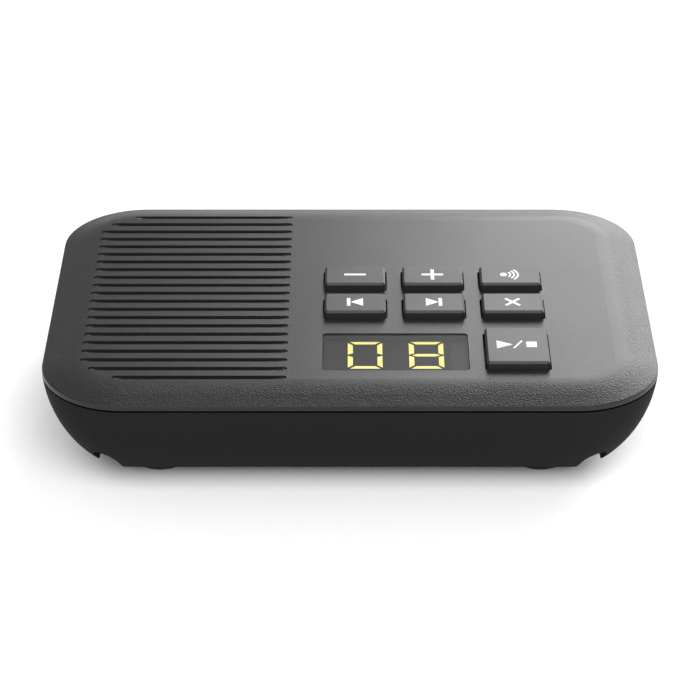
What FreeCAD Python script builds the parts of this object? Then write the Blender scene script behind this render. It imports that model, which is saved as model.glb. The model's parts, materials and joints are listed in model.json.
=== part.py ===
import FreeCAD
import Part
import os
import re
import Sketcher

# Desk answering machine: a flat, boat-hulled casing with a loudspeaker grille on the left,
# seven push keys and a two-digit display on the right.
# Frame: millimetres, +X right, +Y towards the back, +Z up, origin on the desk under the middle.

# Driving sizes: name, size, what it is
SIZES = [
    ("body_width", 140.0, "widest outline, left to right, at the seam"),
    ("body_depth", 98.0, "widest outline, front to back, at the seam"),
    ("corner_radius", 19.5, "plan corner of the outline at the seam"),
    ("seam_height", 24.5, "height of the seam between cover and base"),
    ("underside", 2.0, "height of the flat underside, so how far the feet stand out"),
    ("crown_height", 3.3, "top face above the seam"),
    ("crown_run", 6.8, "width of the slope around the top face"),
    ("crown_drop", 1.7, "fall of that slope"),
    ("crown_blend", 25.0, "radius that blends the slope into the top face"),
    ("lip_round", 0.3, "small round on the cover's lip"),
    ("seam_gap", 0.4, "height of the shadow groove at the seam"),
    ("seam_gap_depth", 1.0, "depth of the shadow groove"),
    ("wall", 2.0, "wall of both mouldings"),
    ("tongue_inset", 2.7, "tongue of the cover, in from the outline"),
    ("tongue_width", 1.2, "thickness of that tongue"),
    ("tongue_depth", 2.2, "how far the tongue reaches below the seam"),
    ("flank_radius", 31.0, "big arc of the base's flank"),
    ("flank_rise", 3.0, "centre of that arc above the seam"),
    ("belly_radius", 8.0, "arc from the flank into the underside"),
    ("grille_inset", 8.8, "left ends of the grille's long slots, in from the outline"),
    ("grille_key_gap", 7.85, "plain strip between the grille and the keys"),
    ("grille_front", 10.0, "front slot, in from the outline"),
    ("grille_rear", 8.0, "rear slot, in from the outline"),
    ("slot_width", 1.6, "width of a grille slot"),
    ("slot_step", 0.3, "depth of a slot at its rounded end"),
    ("slot_ramp", 11.0, "length of the ramp from there to the open part"),
    ("slot_short", 2.1, "left end of the last slot but one, drawn in by this"),
    ("slot_shortest", 7.7, "left end of the outermost slot, drawn in by this"),
    ("key_first", 1.2, "centre of the left column of keys, in X"),
    ("key_pitch", 18.4, "from one key column to the next"),
    ("key_width", 15.1, "opening for a key, left to right"),
    ("key_depth", 10.0, "opening for a small key, front to back"),
    ("key_rear_row", 6.9, "centre of the rear row of keys, in Y"),
    ("key_front_row", -6.85, "centre of the front row of keys, in Y"),
    ("play_depth", 17.2, "opening for the play key and the display, front to back"),
    ("play_row", -27.2, "centre of the play key and the display, in Y"),
    ("key_corner", 0.9, "corner radius of those openings"),
    ("key_gap", 0.4, "gap between a key and its opening"),
    ("key_round", 0.8, "corner radius of a key"),
    ("key_proud", 1.9, "key top above the cover"),
    ("key_bevel", 0.5, "bevel round a key's top"),
    ("key_flange", 1.1, "width of the flange that keeps a key in"),
    ("key_flange_height", 1.2, "thickness of that flange"),
    ("key_play", 0.1, "air over the flange"),
    ("key_travel", 0.8, "how far a key goes down"),
    ("window_length", 33.4, "opening for the display window, left to right"),
    ("window_middle", 10.4, "centre of that opening, in X"),
    ("window_sunk", 0.2, "window face below the cover"),
    ("window_thickness", 1.2, "clear sheet over the digits"),
    ("window_skirt", 0.7, "wall around the window's hollow"),
    ("window_flange", 1.1, "flange that seats under the cover"),
    ("window_flange_height", 0.8, "thickness of that flange"),
    ("window_fit", 0.15, "clearance of the window in its opening"),
    ("display_length", 25.2, "display body, left to right"),
    ("display_depth", 15.2, "display body, front to back"),
    ("display_air", 0.1, "air between display body and window"),
    ("digit_height", 12.4, "seven-segment digit"),
    ("digit_width", 7.9, "seven-segment digit"),
    ("digit_pitch", 14.0, "from one digit to the next"),
    ("digit_middle", 10.45, "centre between the two digits, in X"),
    ("digit_row", -26.2, "centre of the digits, in Y"),
    ("segment_width", 1.15, "stroke of a segment"),
    ("segment_corner", 0.5, "a segment's mitred end, in from the corner of its digit"),
    ("segment_waist", 0.3, "an upright segment's outer side, off the digit's middle line"),
    ("segment_tip", 0.7, "point of the middle segment, in from the digit's side"),
    ("segment_depth", 0.4, "how deep a segment is set in"),
    ("board_top", 20.6, "upper face of the main board"),
    ("board_thickness", 1.6, "main board"),
    ("board_left", -7.5, "left edge of the main board"),
    ("board_inset", 8.0, "the board's other edges, in from the outline"),
    ("board_corner", 9.0, "corner radius of the main board"),
    ("board_hole_fit", 0.3, "play of a screw in the board"),
    ("board_screw_left", 4.0, "left pair of board screws, in from the board's edges"),
    ("board_screw_right", 5.0, "right pair, in from the board's right edge"),
    ("board_screw_end", 8.0, "right pair, in from the board's front and rear edges"),
    ("board_part_gap", 2.0, "free strip between the key mat and what stands on the board"),
    ("mat_thickness", 0.8, "silicone key mat"),
    ("mat_margin", 1.4, "mat beyond the key openings"),
    ("dome_radius", 3.3, "foot of a silicone dome"),
    ("dome_top", 1.9, "plunger of a silicone dome"),
    ("dome_skin", 0.7, "wall of a silicone dome"),
    ("dome_cone", 0.7, "share of a dome's height that its cone takes"),
    ("dome_air", 0.75, "air left under the plunger of a key that is down"),
    ("speaker_radius", 20.0, "loudspeaker basket"),
    ("speaker_height", 12.3, "loudspeaker, front to back"),
    ("speaker_fit", 0.2, "clearance of the loudspeaker in the cover's ring"),
    ("speaker_ring", 1.2, "wall of that ring"),
    ("speaker_ring_depth", 2.4, "how far the ring reaches down from the ceiling"),
    ("speaker_air", 0.8, "foam and cloth between loudspeaker and ceiling"),
    ("cloth_thickness", 0.3, "dust cloth behind the slots"),
    ("gasket_width", 3.0, "foam ring"),
    ("magnet_radius", 9.0, "loudspeaker magnet"),
    ("magnet_height", 4.2, "loudspeaker magnet"),
    ("pole_radius", 4.4, "pole piece in front of the magnet"),
    ("pole_height", 1.4, "pole piece in front of the magnet"),
    ("coil_hole", 5.0, "hole in the basket's back for the voice coil"),
    ("basket_sheet", 0.8, "sheet of the loudspeaker's basket"),
    ("basket_rim", 4.2, "width of the basket's flat rim"),
    ("basket_depth", 2.0, "how deep the basket's rim is drawn"),
    ("cone_paper", 0.4, "paper of the loudspeaker's cone"),
    ("cone_throat", 4.7, "radius of the cone at the voice coil"),
    ("cone_mouth", 13.0, "radius of the cone at its surround"),
    ("surround_rise", 0.6, "roll of the surround above the cone's mouth"),
    ("dust_cap_rise", 1.6, "height of the dust cap"),
    ("pad_height", 1.0, "foam pad under the magnet"),
    ("pad_radius", 5.0, "foam pad under the magnet"),
    ("pad_post", 6.0, "radius of the post that carries the pad"),
    ("foot_radius", 6.5, "rubber foot"),
    ("foot_recess", 0.8, "how deep a foot is let into the base"),
    ("foot_round", 0.6, "round on the foot's lower rim"),
    ("foot_fit", 0.15, "clearance of a foot in its recess"),
    ("foot_inset_side", 26.1, "foot centre, in from the outline's left or right side"),
    ("foot_inset_end", 21.8, "foot centre, in from the outline's front or rear"),
    ("channel_width", 6.0, "cable channel"),
    ("channel_depth", 8.0, "cable channel, from the underside to its roof"),
    ("channel_wall", 1.5, "wall over the cable channel"),
    ("channel_inset", 15.4, "long run of a cable channel, in from the outline"),
    ("channel_bend", 9.0, "bend between cross run and long run, on the centre line"),
    ("exit_inset", 13.9, "where the long run turns towards its exit, in from the front"),
    ("exit_bend", 12.7, "radius of that last turn"),
    ("exit_angle", 80.0, "how far that turn runs, out through the flank, in degrees"),
    ("recess_left", 2.0, "jack recess, left end"),
    ("recess_right", 42.0, "jack recess, right end"),
    ("recess_inset", 30.0, "rear side of the jack recess, in from the outline"),
    ("recess_depth", 15.0, "jack recess, front to rear"),
    ("recess_roof", 16.5, "top of the jack recess"),
    ("jack_width", 13.0, "modular jack"),
    ("jack_length", 13.0, "modular jack"),
    ("jack_height", 12.0, "modular jack"),
    ("jack_mouth", 9.9, "opening for the plug, wide"),
    ("jack_mouth_height", 6.8, "opening for the plug, high"),
    ("jack_bore", 9.5, "depth of that opening"),
    ("jack_sole", 1.2, "wall under the slot for the plug's latch"),
    ("jack_fit", 0.6, "base's window round a jack's mouth, wider by this on each side"),
    ("latch_width", 6.2, "slot for the plug's latch"),
    ("latch_height", 2.2, "slot for the plug's latch"),
    ("contact_pitch", 1.02, "from one contact wire to the next"),
    ("contact_width", 0.45, "contact wire"),
    ("contact_set_back", 1.5, "contact wires behind the jack's face"),
    ("contact_reach", 5.3, "how far a contact wire runs into the mouth"),
    ("contact_drop", 3.2, "how far it slants down"),
    ("jack_line", 12.0, "telephone jack centre, in X"),
    ("jack_power", 32.0, "mains adapter jack centre, in X"),
    ("keyhole_inset_side", 40.0, "wall keyhole, in from the outline's left or right side"),
    ("keyhole_inset_rear", 23.0, "round end of the keyhole, in from the rear"),
    ("keyhole_radius", 4.0, "round end of the keyhole"),
    ("keyhole_slot", 4.4, "width of the keyhole's slot"),
    ("keyhole_travel", 7.0, "length of the slot to its end arc's centre"),
    ("keyhole_plate", 1.6, "plate that hangs on the screw"),
    ("keyhole_room", 5.0, "room behind the plate for the screw head"),
    ("keyhole_side", 0.6, "that room, wider than the round end by this"),
    ("screw_column", -10.8, "housing screws, in X"),
    ("screw_inset", 17.0, "housing screws, in from the front and rear"),
    ("screw_shank", 1.2, "radius of a housing screw's shank"),
    ("screw_length", 11.0, "housing screw under its head"),
    ("screw_head", 2.6, "radius of its head"),
    ("screw_head_height", 1.8, "height of its head"),
    ("screw_fit", 0.05, "clearance of a shank in its post"),
    ("screw_play", 0.4, "play of a housing screw in the base"),
    ("screw_bite", 10.0, "depth of the bore that a housing screw bites into"),
    ("screw_seat", 8.0, "where the housing screw's head seats"),
    ("post_foot", 12.0, "lower end of the cover's screw posts"),
    ("post_radius", 2.7, "cover's screw post"),
    ("post_gap", 0.2, "air between that post and the base's tower"),
    ("small_shank", 0.9, "radius of a small screw's shank"),
    ("small_head", 1.9, "radius of a small screw's head"),
    ("small_head_height", 1.3, "height of a small screw's head"),
    ("small_length", 5.0, "small screw under its head"),
    ("board_post", 2.8, "radius of a board post"),
    ("shield_height", 3.2, "tinplate box over the radio"),
    ("shield_left", 29.5, "that box, in from the board's left edge"),
    ("shield_right", 12.0, "that box, in from the board's right edge"),
    ("shield_front", 2.0, "that box, behind the front of the parts on the board"),
    ("shield_rear", 4.0, "that box, in from the board's rear edge"),
    ("chip_height", 1.4, "chips on the board"),
    ("chip_left", 9.5, "processor and memory, in from the board's left edge"),
    ("processor_width", 12.0, "processor"),
    ("processor_depth", 10.0, "processor"),
    ("memory_width", 8.0, "memory"),
    ("memory_depth", 5.0, "memory"),
    ("amplifier_inset", 3.0, "amplifier, in from the board's right edge"),
    ("amplifier_width", 7.0, "amplifier"),
    ("amplifier_depth", 10.0, "amplifier"),
    ("can_radius", 2.5, "electrolytic capacitor"),
    ("can_height", 4.4, "electrolytic capacitor"),
    ("can_inset", 8.0, "capacitors, in from the board's right edge"),
    ("can_first", 12.0, "first capacitor in front of the middle, in Y"),
    ("can_pitch", 6.5, "from one capacitor to the next"),
    ("connector_edge", 1.0, "loudspeaker connector, in from the board's left edge"),
    ("connector_width", 4.5, "loudspeaker connector"),
    ("connector_length", 8.0, "loudspeaker connector"),
    ("connector_height", 3.6, "loudspeaker connector"),
]

V = FreeCAD.Vector
doc = FreeCAD.newDocument("answering_machine")
sheet = doc.addObject("Spreadsheet::Sheet", "Sizes")
for row, (alias, size, note) in enumerate(SIZES, start=1):
    sheet.set("A%d" % row, note)
    sheet.set("B%d" % row, str(size))
    sheet.setAlias("B%d" % row, alias)
doc.recompute()
ALIASES = {alias for alias, size, note in SIZES}

# Places worked out from the driving sizes
TOP = "(seam_height + crown_height)"
CEILING = "(%s - wall)" % TOP
BOARD_BOTTOM = "(board_top - board_thickness)"
KEY_BOTTOM = "(%s - key_play - key_flange_height)" % CEILING
MAT_TOP = "(board_top + mat_thickness)"
WINDOW_BOTTOM = "(%s - window_sunk - window_thickness)" % TOP
DISPLAY_TOP = "(%s - display_air)" % WINDOW_BOTTOM
SPEAKER_FRONT = "(%s - speaker_air)" % CEILING
SPEAKER_BACK = "(%s - speaker_height)" % SPEAKER_FRONT
CHANNEL_ROOF = "(underside + channel_depth)"
KEYHOLE_FLOOR = "(underside + keyhole_plate)"
GRILLE_LEFT = "(grille_inset - body_width / 2)"
GRILLE_RIGHT = "(key_first - key_width / 2 - grille_key_gap)"
GRILLE_MIDDLE = "((%s + %s) / 2)" % (GRILLE_LEFT, GRILLE_RIGHT)
GRILLE_ROW = "((grille_front - grille_rear) / 2)"
SLOT_PITCH = "((body_depth - grille_front - grille_rear) / 20)"
BOARD_RIGHT = "(body_width / 2 - board_inset)"
BOARD_END = "(body_depth / 2 - board_inset)"
MAT_REAR = "(key_rear_row + key_depth / 2 + mat_margin)"
PARTS_FRONT = "(%s + board_part_gap)" % MAT_REAR
RECESS_REAR = "(body_depth / 2 - recess_inset)"
RECESS_FRONT = "(%s - recess_depth)" % RECESS_REAR
JACK_FACE = "(%s - wall)" % RECESS_FRONT
JACK_LOW = "(%s - jack_height)" % BOARD_BOTTOM
CHANNEL_ROW = "(%s - recess_depth / 2)" % RECESS_REAR
CHANNEL_SIDE = "(body_width / 2 - channel_inset)"
EXIT_START = "(exit_inset - body_depth / 2)"
FOOT_ACROSS = "(body_width / 2 - foot_inset_side)"
FOOT_ALONG = "(body_depth / 2 - foot_inset_end)"
KEYHOLE_ACROSS = "(body_width / 2 - keyhole_inset_side)"
KEYHOLE_ALONG = "(body_depth / 2 - keyhole_inset_rear)"
SCREW_ROW = "(body_depth / 2 - screw_inset)"
SCREW_ROWS = (SCREW_ROW, "(-%s)" % SCREW_ROW)

# How far a cutting shape runs past the face that it opens
PAST = "1"

# The seven keys: name, column, row centre, opening depth
KEYS = [
    ("minus", 0, "key_rear_row", "key_depth"),
    ("plus", 1, "key_rear_row", "key_depth"),
    ("paging", 2, "key_rear_row", "key_depth"),
    ("previous", 0, "key_front_row", "key_depth"),
    ("next", 1, "key_front_row", "key_depth"),
    ("delete", 2, "key_front_row", "key_depth"),
    ("play_stop", 2, "play_row", "play_depth"),
]

nodes = []


def bound(expression):
    """Write an expression on the sheet's names so that any object can use it."""
    def prefixed(match):
        word = match.group(0)
        return "Sizes." + word if word in ALIASES else word
    return re.sub(r"[a-z_]+", prefixed, expression)


def value(expression):
    """The number that an expression stands for now."""
    return float(sheet.evalExpression(expression))


def bind(item, name, expression):
    item.setExpression(name, bound(expression))


def keep(item, label):
    """Mark an object as a finished sub-part under its own name."""
    item.Label = label
    nodes.append(item)
    return item


# Sketch helpers


def new_body(name):
    body = doc.addObject("PartDesign::Body", name)
    body.Label = name
    body.AllowCompound = True
    return body


def sketch_on(body, role, offset="0", across="0"):
    """A sketch on one of the body's origin planes, moved along the plane's normal and across it."""
    sketch = body.newObject("Sketcher::SketchObject", body.Name + "_sketch")
    plane = next(part for part in body.Origin.OriginFeatures if part.Role == role)
    sketch.AttachmentSupport = [(plane, "")]
    sketch.MapMode = "FlatFace"
    bind(sketch, "AttachmentOffset.Base.z", offset)
    bind(sketch, "AttachmentOffset.Base.x", across)
    return sketch


def pin(sketch, edge, point, x, y):
    """Hold one point of an edge at a place given by two expressions."""
    for kind, expression in (("DistanceX", x), ("DistanceY", y)):
        held = Sketcher.Constraint(kind, -1, 1, edge, point, value(expression))
        number = sketch.addConstraint(held)
        bind(sketch, "Constraints[%d]" % number, expression)


def set_radius(sketch, edge, radius):
    number = sketch.addConstraint(Sketcher.Constraint("Radius", edge, value(radius)))
    bind(sketch, "Constraints[%d]" % number, radius)


def outline(sketch, corners):
    """Close an outline through corners (x, y); a corner (x, y, radius, centre_x, centre_y)
    is reached by an arc about that centre."""
    places = [V(value(corner[0]), value(corner[1]), 0) for corner in corners]
    ends = []
    for number, corner in enumerate(corners):
        start, end = places[number - 1], places[number]
        if len(corner) == 2:
            edge = sketch.addGeometry(Part.LineSegment(start, end), False)
            ends.append((edge, 1, 2))
            continue
        centre = V(value(corner[3]), value(corner[4]), 0)
        middle = (start - centre).normalize() + (end - centre).normalize()
        middle = centre + middle.normalize() * value(corner[2])
        edge = sketch.addGeometry(Part.Arc(start, middle, end), False)
        forward = (sketch.Geometry[edge].StartPoint - start).Length < 1e-6
        ends.append((edge, 1, 2) if forward else (edge, 2, 1))
    for number, corner in enumerate(corners):
        edge, first, last = ends[number]
        follower, follower_first, follower_last = ends[(number + 1) % len(corners)]
        sketch.addConstraint(Sketcher.Constraint("Coincident", edge, last, follower, follower_first))
        pin(sketch, edge, last, corner[0], corner[1])
        if len(corner) > 2:
            set_radius(sketch, edge, corner[2])


def rectangle(sketch, left, right, low, high):
    outline(sketch, [(left, low), (right, low), (right, high), (left, high)])


def rounded_rectangle(sketch, left, right, low, high, radius):
    inner_left = "(%s + %s)" % (left, radius)
    inner_right = "(%s - %s)" % (right, radius)
    inner_low = "(%s + %s)" % (low, radius)
    inner_high = "(%s - %s)" % (high, radius)
    outline(sketch, [
        (inner_left, low, radius, inner_left, inner_low),
        (inner_right, low),
        (right, inner_low, radius, inner_right, inner_low),
        (right, inner_high),
        (inner_right, high, radius, inner_right, inner_high),
        (inner_left, high),
        (left, inner_high, radius, inner_left, inner_high),
        (left, inner_low),
    ])


def capsule(sketch, left, right, row, radius):
    """A slot along X with round ends."""
    near, far = "(%s + %s)" % (left, radius), "(%s - %s)" % (right, radius)
    low, high = "(%s - %s)" % (row, radius), "(%s + %s)" % (row, radius)
    outline(sketch, [
        (left, row, radius, near, row),
        (near, low, radius, near, row),
        (far, low),
        (right, row, radius, far, row),
        (far, high, radius, far, row),
        (near, high),
    ])


def body_outline(sketch, inset):
    """The casing's plan outline, drawn in by an inset."""
    half_width = "(body_width / 2 - %s)" % inset
    half_depth = "(body_depth / 2 - %s)" % inset
    corner = "(corner_radius - %s)" % inset
    rounded_rectangle(sketch, "-" + half_width, half_width, "-" + half_depth, half_depth, corner)


def circle(sketch, x, y, radius):
    edge = sketch.addGeometry(Part.Circle(V(value(x), value(y), 0), V(0, 0, 1), value(radius)), False)
    pin(sketch, edge, 3, x, y)
    set_radius(sketch, edge, radius)


# Feature helpers


def pad(body, sketch, length, down=False, both_ways=False):
    feature = body.newObject("PartDesign::Pad", body.Name + "_pad")
    feature.Profile = sketch
    bind(feature, "Length", length)
    feature.Reversed = down
    if both_ways:
        feature.SideType = "Symmetric"
    doc.recompute()
    return feature


def pocket(body, sketch, length, up=False, both_ways=False):
    feature = body.newObject("PartDesign::Pocket", body.Name + "_pocket")
    feature.Profile = sketch
    bind(feature, "Length", length)
    feature.Reversed = up
    if both_ways:
        feature.SideType = "Symmetric"
    doc.recompute()
    return feature


def revolve(body, sketch, angle="360", backwards=False):
    feature = body.newObject("PartDesign::Revolution", body.Name + "_turned")
    feature.Profile = sketch
    feature.ReferenceAxis = (sketch, ["V_Axis"])
    feature.Reversed = backwards
    bind(feature, "Angle", angle)
    doc.recompute()
    return feature


def copies(body, originals, role, length, count):
    """Repeat features along one of the body's origin axes, over a length from first to last."""
    pattern = body.newObject("PartDesign::LinearPattern", body.Name + "_row")
    pattern.Originals = originals
    axis = next(part for part in body.Origin.OriginFeatures if part.Role == role)
    pattern.Direction = (axis, [""])
    bind(pattern, "Length", length)
    pattern.Occurrences = count
    body.Tip = pattern
    doc.recompute()
    return pattern


def edges_where(shape, test):
    return ["Edge%d" % number for number, edge in enumerate(shape.Edges, start=1) if test(edge)]


def level_at(height):
    """A test for edges that lie flat at one height."""
    place = value(height)

    def test(edge):
        box = edge.BoundBox
        return abs(box.ZMin - place) < 1e-4 and abs(box.ZMax - place) < 1e-4
    return test


def dress(body, kind, test, sizes):
    """A fillet or chamfer on the edges that pass a test."""
    base = body.Tip
    feature = body.newObject("PartDesign::" + kind, body.Name + "_" + kind.lower())
    feature.Base = (base, edges_where(base.Shape, test))
    if len(sizes) == 2:
        feature.ChamferType = "Two distances"
    for name, size in sizes.items():
        bind(feature, name, size)
    doc.recompute()
    return feature


# Solid helpers


def box(name, left, right, front, rear, low, high):
    item = doc.addObject("Part::Box", name)
    for side, size, near, far in (("x", "Length", left, right), ("y", "Width", front, rear),
                                  ("z", "Height", low, high)):
        bind(item, "Placement.Base." + side, near)
        bind(item, size, "(%s) - (%s)" % (far, near))
    return item


def cylinder(name, x, y, low, high, radius):
    item = doc.addObject("Part::Cylinder", name)
    bind(item, "Placement.Base.x", x)
    bind(item, "Placement.Base.y", y)
    bind(item, "Placement.Base.z", low)
    bind(item, "Radius", radius)
    bind(item, "Height", "(%s) - (%s)" % (high, low))
    return item


def fuse(name, items):
    item = doc.addObject("Part::MultiFuse", name)
    item.Shapes = items
    item.Refine = True
    return item


def cut(name, base, tool):
    item = doc.addObject("Part::Cut", name)
    item.Base = base
    item.Tool = tool
    item.Refine = True
    return item


def group(name, items):
    item = doc.addObject("Part::Compound", name)
    item.Links = items
    return item


# Top cover


def make_top_cover():
    body = new_body("top_cover")
    cap = sketch_on(body, "XY_Plane", "seam_height + seam_gap")
    body_outline(cap, "0")
    pad(body, cap, "crown_height - seam_gap")
    dress(body, "Chamfer", level_at(TOP), {"Size": "crown_drop", "Size2": "crown_run"})
    dress(body, "Fillet", level_at(TOP), {"Radius": "crown_blend"})
    dress(body, "Fillet", level_at(TOP + " - crown_drop"), {"Radius": "lip_round"})

    # Below the cap: the neck inside the shadow groove, then the tongue that enters the base
    neck = sketch_on(body, "XY_Plane", "seam_height + seam_gap")
    body_outline(neck, "seam_gap_depth")
    pad(body, neck, "seam_gap", down=True)
    tongue = sketch_on(body, "XY_Plane", "seam_height")
    body_outline(tongue, "tongue_inset")
    pad(body, tongue, "tongue_depth", down=True)
    hollow = sketch_on(body, "XY_Plane", CEILING)
    body_outline(hollow, "(tongue_inset + tongue_width)")
    pocket(body, hollow, CEILING + " - seam_height + tongue_depth")

    make_grille(body)

    # Openings for the seven keys and the display window
    openings = sketch_on(body, "XY_Plane", TOP)
    for name, column, row, depth in KEYS:
        left, right, front, rear = key_opening(column, row, depth)
        rounded_rectangle(openings, left, right, front, rear, "key_corner")
    left, right, front, rear = window_opening()
    rounded_rectangle(openings, left, right, front, rear, "key_corner")
    pocket(body, openings, "wall + " + PAST)

    # Screw posts, and the low ring that centres the loudspeaker
    posts = sketch_on(body, "XY_Plane", CEILING)
    for row in SCREW_ROWS:
        circle(posts, "screw_column", row, "post_radius")
    pad(body, posts, CEILING + " - post_foot", down=True)
    bores = sketch_on(body, "XY_Plane", "post_foot")
    for row in SCREW_ROWS:
        circle(bores, "screw_column", row, "screw_shank + screw_fit")
    pocket(body, bores, "screw_bite", up=True)
    ring = sketch_on(body, "XY_Plane", CEILING)
    circle(ring, GRILLE_MIDDLE, GRILLE_ROW, "speaker_radius + speaker_fit")
    circle(ring, GRILLE_MIDDLE, GRILLE_ROW, "speaker_radius + speaker_fit + speaker_ring")
    pad(body, ring, "speaker_ring_depth", down=True)
    return keep(body, "top_cover")


def make_grille(body):
    """Twenty-one slots, in three lengths. Each is shallow at its rounded ends, and a ramp at
    each end runs down to the stretch that is open right through."""
    right = GRILLE_RIGHT
    below = CEILING + " - " + PAST
    for shorter, first, count in (("0", 8, 17), ("slot_short", 9, 2), ("slot_shortest", 10, 2)):
        left = "(%s + %s)" % (GRILLE_LEFT, shorter)
        row = "(%s - %d * %s)" % (GRILLE_ROW, first, SLOT_PITCH)
        ends = sketch_on(body, "XY_Plane", TOP)
        capsule(ends, left, right, row, "(slot_width / 2)")
        shallow = pocket(body, ends, "slot_step")
        ramp = sketch_on(body, "XZ_Plane", "-" + row)
        ramp_left = "(%s + slot_width / 2)" % left
        ramp_right = "(%s - slot_width / 2)" % right
        outline(ramp, [
            (ramp_left, TOP + " - slot_step"),
            (ramp_left + " + slot_ramp", CEILING),
            (ramp_left + " + slot_ramp", below),
            (ramp_right + " - slot_ramp", below),
            (ramp_right + " - slot_ramp", CEILING),
            (ramp_right, TOP + " - slot_step"),
            (ramp_right, TOP + " + " + PAST),
            (ramp_left, TOP + " + " + PAST),
        ])
        deep = pocket(body, ramp, "slot_width", both_ways=True)
        copies(body, [shallow, deep], "Y_Axis", "%d * %s" % (2 * first, SLOT_PITCH), count)


def key_opening(column, row, depth):
    """Left, right, front and rear side of a key's opening."""
    middle = "(key_first + %d * key_pitch)" % column
    return ("(%s - key_width / 2)" % middle, "(%s + key_width / 2)" % middle,
            "(%s - %s / 2)" % (row, depth), "(%s + %s / 2)" % (row, depth))


def window_opening():
    """Left, right, front and rear side of the display window's opening."""
    return ("(window_middle - window_length / 2)", "(window_middle + window_length / 2)",
            "(play_row - play_depth / 2)", "(play_row + play_depth / 2)")


def drawn_in(sides, inset):
    """Draw the four sides of an opening in by an inset."""
    left, right, front, rear = sides
    return ("(%s + %s)" % (left, inset), "(%s - %s)" % (right, inset),
            "(%s + %s)" % (front, inset), "(%s - %s)" % (rear, inset))


# Keys, their domes and the mat


def make_key(name, column, row, depth):
    body = new_body("key_" + name)
    opening = key_opening(column, row, depth)
    cap = sketch_on(body, "XY_Plane", KEY_BOTTOM)
    rounded_rectangle(cap, *drawn_in(opening, "key_gap"), "key_round")
    top = TOP + " + key_proud"
    pad(body, cap, top + " - " + KEY_BOTTOM)
    dress(body, "Chamfer", level_at(top), {"Size": "key_bevel"})
    flange = sketch_on(body, "XY_Plane", KEY_BOTTOM)
    rectangle(flange, *drawn_in(opening, "(key_gap - key_flange)"))
    pad(body, flange, "key_flange_height")
    return keep(body, "key_" + name)


def make_dome(name, column, row):
    """A silicone dome from the mat up to the key: a thin cone with a stout plunger."""
    body = new_body("dome_" + name)
    middle = "(key_first + %d * key_pitch)" % column
    sketch = sketch_on(body, "XZ_Plane", "-" + row, middle)
    rise = "(%s - %s)" % (KEY_BOTTOM, MAT_TOP)
    shoulder = "(%s + dome_cone * %s)" % (MAT_TOP, rise)
    hollow = "(%s + key_travel + dome_air)" % MAT_TOP
    outline(sketch, [
        ("(dome_radius - dome_skin)", MAT_TOP),
        ("dome_radius", MAT_TOP),
        ("dome_top", shoulder),
        ("dome_top", KEY_BOTTOM),
        ("0", KEY_BOTTOM),
        ("0", hollow),
        ("(dome_top - dome_skin / 2)", hollow),
    ])
    revolve(body, sketch)
    return keep(body, "dome_" + name)


def make_key_mat():
    """The silicone sheet: one field under both small rows, and a tab under the play key."""
    body = new_body("key_mat")
    left = key_opening(0, "key_rear_row", "key_depth")[0]
    far_right = key_opening(2, "key_rear_row", "key_depth")[1]
    tab_left = key_opening(2, "play_row", "play_depth")[0]
    tab_front = "(play_row - play_depth / 2)"
    field_front = "(key_front_row - key_depth / 2)"
    sketch = sketch_on(body, "XY_Plane", "board_top")
    outline(sketch, [
        (left + " - mat_margin / 2", MAT_REAR),
        (left + " - mat_margin / 2", field_front + " - mat_margin"),
        (tab_left + " - mat_margin", field_front + " - mat_margin"),
        (tab_left + " - mat_margin", tab_front + " - mat_margin"),
        (far_right + " + mat_margin", tab_front + " - mat_margin"),
        (far_right + " + mat_margin", MAT_REAR),
    ])
    pad(body, sketch, "mat_thickness")
    return keep(body, "key_mat")


# Display


def make_window():
    body = new_body("display_window")
    sides = window_opening()
    plate = sketch_on(body, "XY_Plane", CEILING + " - window_flange_height")
    rounded_rectangle(plate, *drawn_in(sides, "window_fit"), "(key_corner - window_fit)")
    pad(body, plate, TOP + " - window_sunk - " + CEILING + " + window_flange_height")
    flange = sketch_on(body, "XY_Plane", CEILING + " - window_flange_height")
    rectangle(flange, *drawn_in(sides, "(-window_flange)"))
    pad(body, flange, "window_flange_height")
    hollow = sketch_on(body, "XY_Plane", WINDOW_BOTTOM)
    rectangle(hollow, *drawn_in(sides, "(window_fit + window_skirt)"))
    pocket(body, hollow, "wall + window_flange_height")
    return keep(body, "display_window")


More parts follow.
